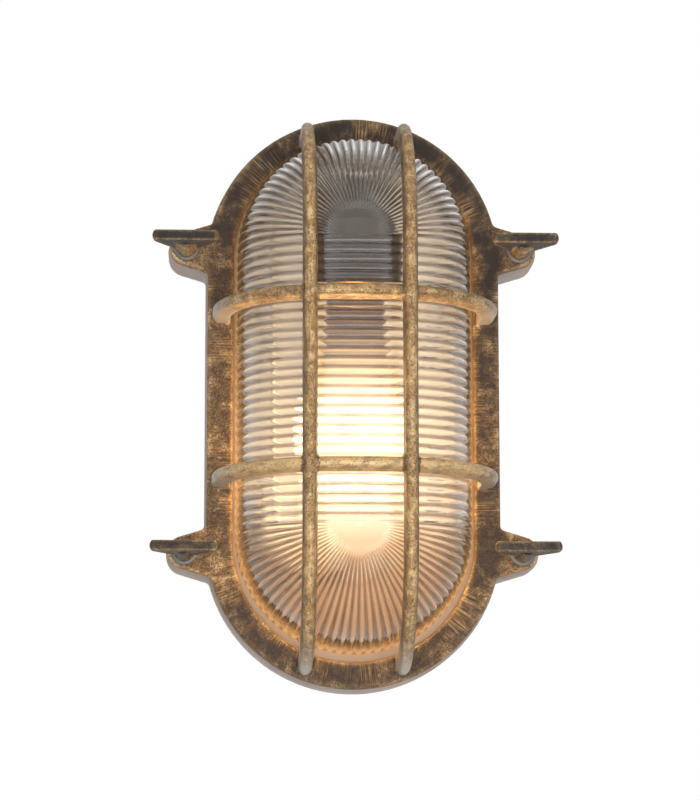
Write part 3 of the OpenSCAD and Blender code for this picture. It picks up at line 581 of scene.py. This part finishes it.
def makeThread():
    tree, given = newShaper("screwThread", [("Radius", "Float"), ("Length", "Float"), ("Pitch", "Float"),
                                            ("Depth", "Float"), ("Material", "Material")])
    rod = tree.nodes.new("GeometryNodeMeshCylinder")
    rod.fill_type = "TRIANGLE_FAN"
    rod.inputs["Vertices"].default_value = 28
    rod.inputs["Side Segments"].default_value = 150
    wire(tree, given["Radius"], rod.inputs["Radius"])
    wire(tree, given["Length"], rod.inputs["Depth"])
    split = tree.nodes.new("ShaderNodeSeparateXYZ")
    wire(tree, tree.nodes.new("GeometryNodeInputPosition").outputs[0], split.inputs[0])
    x, y, z = split.outputs
    turn = calc(tree, "DIVIDE", calc(tree, "ARCTAN2", y, x), 2 * math.pi)
    climb = calc(tree, "SUBTRACT", calc(tree, "DIVIDE", z, given["Pitch"]), turn)
    tooth = calc(tree, "MULTIPLY", calc(tree, "PINGPONG", climb, 0.5), 2.0)
    cut = calc(tree, "DIVIDE", calc(tree, "MULTIPLY", tooth, given["Depth"]), given["Radius"])
    keep = calc(tree, "SUBTRACT", 1.0, cut)
    gather = tree.nodes.new("ShaderNodeCombineXYZ")
    wire(tree, calc(tree, "MULTIPLY", x, keep), gather.inputs["X"])
    wire(tree, calc(tree, "MULTIPLY", y, keep), gather.inputs["Y"])
    wire(tree, z, gather.inputs["Z"])
    push = tree.nodes.new("GeometryNodeSetPosition")
    wire(tree, rod.outputs["Mesh"], push.inputs["Geometry"])
    wire(tree, gather.outputs[0], push.inputs["Position"])
    return endShaper(tree, push.outputs["Geometry"], given["Material"])


def lathe(name, profile, segments):  # profile of (radius, height) turned about Z
    work = bmesh.new()
    angles = [2 * math.pi * k / segments for k in range(segments)]
    rings = [[work.verts.new((radius * math.cos(a), radius * math.sin(a), height)) for a in angles]
             for radius, height in profile]
    for first, second in zip(rings, rings[1:]):
        for k in range(segments):
            j = (k + 1) % segments
            work.faces.new((first[k], first[j], second[j], second[k]))
    bmesh.ops.remove_doubles(work, verts=work.verts, dist=1e-7)
    bmesh.ops.recalc_face_normals(work, faces=work.faces)
    mesh = bpy.data.meshes.new(name)
    work.to_mesh(mesh)
    work.free()
    smooth(mesh)
    return mesh


def joinInto(piece, mesh):  # adds a mesh to a piece's own
    work = bmesh.new()
    work.from_mesh(piece.data)
    work.from_mesh(mesh)
    work.to_mesh(piece.data)
    work.free()


def trimShank(mesh, depth):  # takes the plain shank off below the hub
    work = bmesh.new()
    work.from_mesh(mesh)
    bmesh.ops.delete(work, geom=[v for v in work.verts if -v.co.y < depth], context="VERTS")
    bmesh.ops.holes_fill(work, edges=[e for e in work.edges if e.is_boundary])
    work.to_mesh(mesh)
    work.free()


def lugSpot(sx, sz, depth):  # turns +Z to the front and sets a piece on a lug
    spot = Matrix.Translation((sx * screw["x"], 0, sz * screw["z"]))
    return spot @ Matrix.Rotation(math.pi / 2, 4, "X") @ Matrix.Translation((0, 0, depth))


def makeWing(corner, sx, sz):
    wing = softCopy("wing_screw_" + corner, "wingScrew_" + corner, screw["voxel"], screw["passes"])
    trimShank(wing.data, screw["face"] + screw["washer"] - screw["lap"])
    rod = newObject("rod_" + corner, bpy.data.meshes.new("rod"))
    length = screw["washer"] - screw["tip"] + screw["intoHub"]
    useShaper(rod, thread, Radius=screw["shankR"], Length=length, Pitch=screw["pitch"],
              Depth=screw["threadDepth"], Material=screwBlack)
    rod.data.transform(lugSpot(sx, sz, screw["face"] + screw["tip"] + length / 2))
    joinInto(wing, rod.data)
    bpy.data.objects.remove(rod)
    x, y, z = points(wing.data).T
    aside = x - sx * screw["x"]
    hub = ramp(-y, *screw["hubFoot"]) * ramp(y, *screw["hubTop"]) * ramp(-np.abs(aside), *screw["hubSide"])
    hubCover = screw["hubCover"] * (1 if sz > 0 else screw["lowerHubs"])
    storeVector(wing.data, "brushWay", np.stack([y, aside, z], 1))
    storeValue(wing.data, "goldCover", screw["cover"] + hubCover * hub)
    storeValue(wing.data, "paintedSheenShare", np.zeros(len(x)))
    storeValue(wing.data, "edgeWear", edgeWear(wing.data, screw["voxel"], screw["edgeGain"]))
    wing.data.materials.clear()
    wing.data.materials.append(screwBlack)
    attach(wing, "screw_" + corner)
    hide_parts("wing_screw_" + corner)


def makeWasher(corner, sx, sz):
    bore, outer, thick = plate["bore"], plate["outer"], screw["washer"]
    bevel, soft = plate["bevel"], plate["soft"]
    section = [(bore, bevel), (bore + bevel, 0), (outer - soft, 0), (outer, soft), (outer, thick - soft),
               (outer - soft, thick), (bore + bevel, thick), (bore, thick - bevel), (bore, bevel)]
    washer = newObject("plateWasher_" + corner, lathe("plateWasher_" + corner, section, plate["segments"]))
    washer.data.transform(lugSpot(sx, sz, screw["face"]))
    washer.data.materials.append(washerGrey)
    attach(washer, "washer_" + corner)
    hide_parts("washer_" + corner)


thread = makeThread()
for corner, (sx, sz) in corners.items():
    makeWing(corner, sx, sz)
    makeWasher(corner, sx, sz)
print("wing screws ready")


# Lamp, in millimetres: opal bulb and brass cap with a rolled thread, lit by a small light in the ball
bulb = {"axis": 45.5, "foot": 46.0, "collar": 2.0, "capR": 13.2, "capLength": 25.0, "capTurns": 5,
        "capPitch": 3.6, "capThread": 0.5, "ballR": 30.0, "length": 98.0, "neckR": 13.8, "segments": 72,
        "glowSpan": (38.0, -32.0), "tipSpan": (-47.0, -59.0), "tipDim": 0.85,  # neck and tip glow less
        "lightR": 25.0, "lightDrop": 4.0, "power": 0.9, "tint": (1.0, 0.72, 0.42)}
bulb["ballZ"] = bulb["foot"] - bulb["length"] + bulb["ballR"]


def makeLampGlass():
    material, tree, shader = newMaterial("lampOpal", Roughness=0.25, Emission_Strength=2.4)
    height = calc(tree, "DIVIDE", objectHeight(tree), mm)
    glow = spread(tree, height, *bulb["glowSpan"])
    tip = scaled(tree, spread(tree, height, *bulb["tipSpan"]), -bulb["tipDim"], 1.0)
    mist = noise(tree, objectPlace(tree), 60, 2.0, 0.5)
    heat = calc(tree, "MULTIPLY", calc(tree, "MULTIPLY", glow, tip), scaled(tree, mist, 0.3, 0.85))
    warm = blendColour(tree, spread(tree, heat, 0.0, 0.45), (0.02, 0.010, 0.004, 1), (0.38, 0.22, 0.095, 1))
    bright = blendColour(tree, spread(tree, heat, 0.2, 1.0), warm, (0.8, 0.62, 0.42, 1))
    wire(tree, bright, shader.inputs["Emission Color"])
    body = blendColour(tree, glow, (0.12, 0.08, 0.052, 1), (0.72, 0.62, 0.48, 1))
    wire(tree, body, shader.inputs["Base Color"])
    return material


def bulbProfile():  # a ball that runs into the neck by a hollow curve
    ballR, neckR = bulb["ballR"], bulb["neckR"]
    neckZ = bulb["foot"] - bulb["collar"]
    rise = neckZ - bulb["ballZ"]
    waist = (neckR ** 2 + rise ** 2 - ballR ** 2) / (2 * (ballR - neckR))
    meet = math.atan2(rise, neckR + waist)
    profile = [(ballR * math.cos(a), bulb["ballZ"] + ballR * math.sin(a))
               for a in np.linspace(-math.pi / 2, meet, 40)]
    profile += [(neckR + waist - waist * math.cos(a), neckZ - waist * math.sin(a))
                for a in np.linspace(meet, 0, 24)[1:]]
    return profile


def capProfile():
    foot, top = bulb["foot"] - bulb["collar"], bulb["foot"] + bulb["capLength"]
    capR, neckR, deep = bulb["capR"], bulb["neckR"], bulb["capThread"]
    profile = [(0, foot + 0.2), (neckR - 0.3, foot + 0.2), (neckR - 0.2, foot + 1.6)]
    profile.append((capR - 0.6, foot + 2.4))
    for turn in np.arange(0, bulb["capTurns"], 1 / 8):
        wave = deep * math.sin(2 * math.pi * turn)
        profile.append((capR - deep + wave, foot + 3 + bulb["capPitch"] * turn))
    profile += [(capR - 1.2, top - 3.4), (5.6, top - 1.2), (5.0, top - 0.3), (4.2, top), (0, top)]
    return profile


def turnedPiece(name, profile, finish):
    mesh = lathe(name, [(r * mm, h * mm) for r, h in profile], bulb["segments"])
    mesh.transform(Matrix.Translation((0, -bulb["axis"] * mm, 0)))
    mesh.materials.append(finish)
    return newObject(name, mesh)


lampPiece = turnedPiece("opalLamp", bulbProfile(), makeLampGlass())
capPiece = turnedPiece("lampCap", capProfile(), brassPlain)
for piece, slotName in ((lampPiece, "lamp_glass"), (capPiece, "brass")):
    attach(piece, "housing")
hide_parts("lamp")
lampPiece.visible_shadow = False  # lets out the light inside it
glowData = bpy.data.lights.new("bulbLight", "POINT")
glowData.shadow_soft_size = bulb["lightR"] * mm
glowData.energy = bulb["power"]
glowData.color = bulb["tint"]
bulbLight = newObject("bulbLight", glowData)
bulbLight.location = (0, -bulb["axis"] * mm, (bulb["ballZ"] - bulb["lightDrop"]) * mm)
print("lamp ready")

# Pale tray paint, made lighter at the top as painted light and brown at the lower end as painted warm shade
tray = {"topLight": (85 * mm, 20 * mm), "lowShadeSpan": (-50 * mm, -85 * mm), "clean": (0.58, 0.585, 0.595, 1),
        "old": (0.37, 0.37, 0.375, 1), "soil": (0.36, 0.36, 0.36, 1), "lowShade": (0.29, 0.22, 0.17, 1),
        "lowShadeSoil": (0.23, 0.17, 0.13, 1)}


def makeTrayPaint():
    material, tree, shader = newMaterial("trayPaint")
    height = objectHeight(tree)
    # painted warm shade: the dust share here browns the lower end; the clean tone at the top is painted
    # light, the old tone the paint below it
    dust = spread(tree, height, *tray["lowShadeSpan"])
    topLight = blendColour(tree, spread(tree, height, *tray["topLight"]), tray["clean"], tray["old"])
    out = placeGroup(tree, castSkin, Paint=blendColour(tree, dust, topLight, tray["lowShade"]),
                     Soil=blendColour(tree, dust, tray["soil"], tray["lowShadeSoil"]), Mottle=0.5)
    dress(tree, shader, out, 0.3, 0.05 * mm)
    return material


# Carried over from the solids with their own finishes
kept = [(makeTrayPaint(), ("reflector_tray",)), (sealRubber, ("rear_gasket", "front_gasket")),
        (grommetRubber, ("cable_grommet",)), (holderBlack, ("lampholder_body",)),
        (terminalIvory, ("terminal_block",)), (leadSleeve, ("live_lead", "neutral_lead")),
        (zincPlate, ("tray_screws", "lampholder_bracket", "bracket_screws", "lampholder_screws",
                     "terminal_screws", "block_screw")),
        (brassPlain, ("earth_screw", "earth_washer", "lampholder_shell", "centre_contact",
                      "terminal_barrels"))]
for finish, names in kept:
    for name in names:
        nodes[name].data.materials.clear()
        nodes[name].data.materials.append(finish)
print("inner pieces ready")

# Camera, from the photograph's own perspective, with angles in degrees and the focal length in pixels
view = {"place": (-0.067448, -1.413624, -0.217504), "yaw": -2.7164, "pitch": 8.9025, "roll": 0.0669,
        "focal": 2935.76, "pictureHigh": 800, "sensor": 36}
cameraData = bpy.data.cameras.new("camera")
cameraData.lens = view["sensor"] * view["focal"] / view["pictureHigh"]
cameraData.sensor_width = view["sensor"]
cameraData.clip_start = 0.01
camera = newObject("camera", cameraData)
camera.matrix_world = (Matrix.Translation(view["place"]) @ Matrix.Rotation(math.radians(view["yaw"]), 4, "Z")
                       @ Matrix.Rotation(math.radians(view["pitch"]), 4, "X")
                       @ Matrix.Rotation(math.radians(view["roll"]), 4, "Y")
                       @ Matrix.Rotation(math.pi / 2, 4, "X"))
bpy.context.scene.camera = camera

# Studio: a pale floor well below, a white surround and three soft lamps
studio = {"floor": -0.55, "edge": 15.0, "surround": 0.5, "mirrored": 0.72,
          "lamps": [((-0.9, -1.3, 1.1), 1.8, 10.0), ((1.1, -1.2, 0.5), 1.8, 7.0),
                    ((0.0, -0.9, -0.5), 0.8, 6.5)]}  # place, size and power
floorMesh = bpy.data.meshes.new("studioFloor")
floorMesh.from_pydata([(sx * studio["edge"], sy * studio["edge"], studio["floor"])
                       for sx, sy in ((-1, -1), (1, -1), (1, 1), (-1, 1))], [], [(0, 1, 2, 3)])
floor = newObject("studioFloor", floorMesh)
floorPaint, floorTree, floorShader = newMaterial("floorPaint", Roughness=0.8, Emission_Color=(1, 1, 1, 1),
                                                 Emission_Strength=0.2)
floorMist = noise(floorTree, objectPlace(floorTree), 2.0)
floorTone = blendColour(floorTree, floorMist, (0.84, 0.84, 0.84, 1), (0.88, 0.88, 0.88, 1))
wire(floorTree, floorTone, floorShader.inputs["Base Color"])
floor.data.materials.append(floorPaint)
for number, (place, size, power) in enumerate(studio["lamps"]):
    light = bpy.data.lights.new("softLamp" + str(number), "AREA")
    light.size = size
    light.energy = power
    lamp = newObject("softLamp" + str(number), light)
    lamp.location = place
    lamp.rotation_mode = "QUATERNION"
    lamp.rotation_quaternion = (-lamp.location).to_track_quat("-Z", "Y")

world = bpy.data.worlds.new("studioWorld")
bpy.context.scene.world = world
world.use_nodes = True
air = world.node_tree
seen = air.nodes["Background"]
seen.inputs["Color"].default_value = (1, 1, 1, 1)
path = air.nodes.new("ShaderNodeLightPath")
shown = calc(air, "MAXIMUM", path.outputs["Is Camera Ray"], path.outputs["Is Transmission Ray"])
level = calc(air, "MAXIMUM", shown, calc(air, "MULTIPLY", path.outputs["Is Glossy Ray"], studio["mirrored"]))
wire(air, calc(air, "MAXIMUM", level, studio["surround"]), seen.inputs["Strength"])
bpy.context.scene.view_settings.view_transform = "Standard"
print("studio ready")
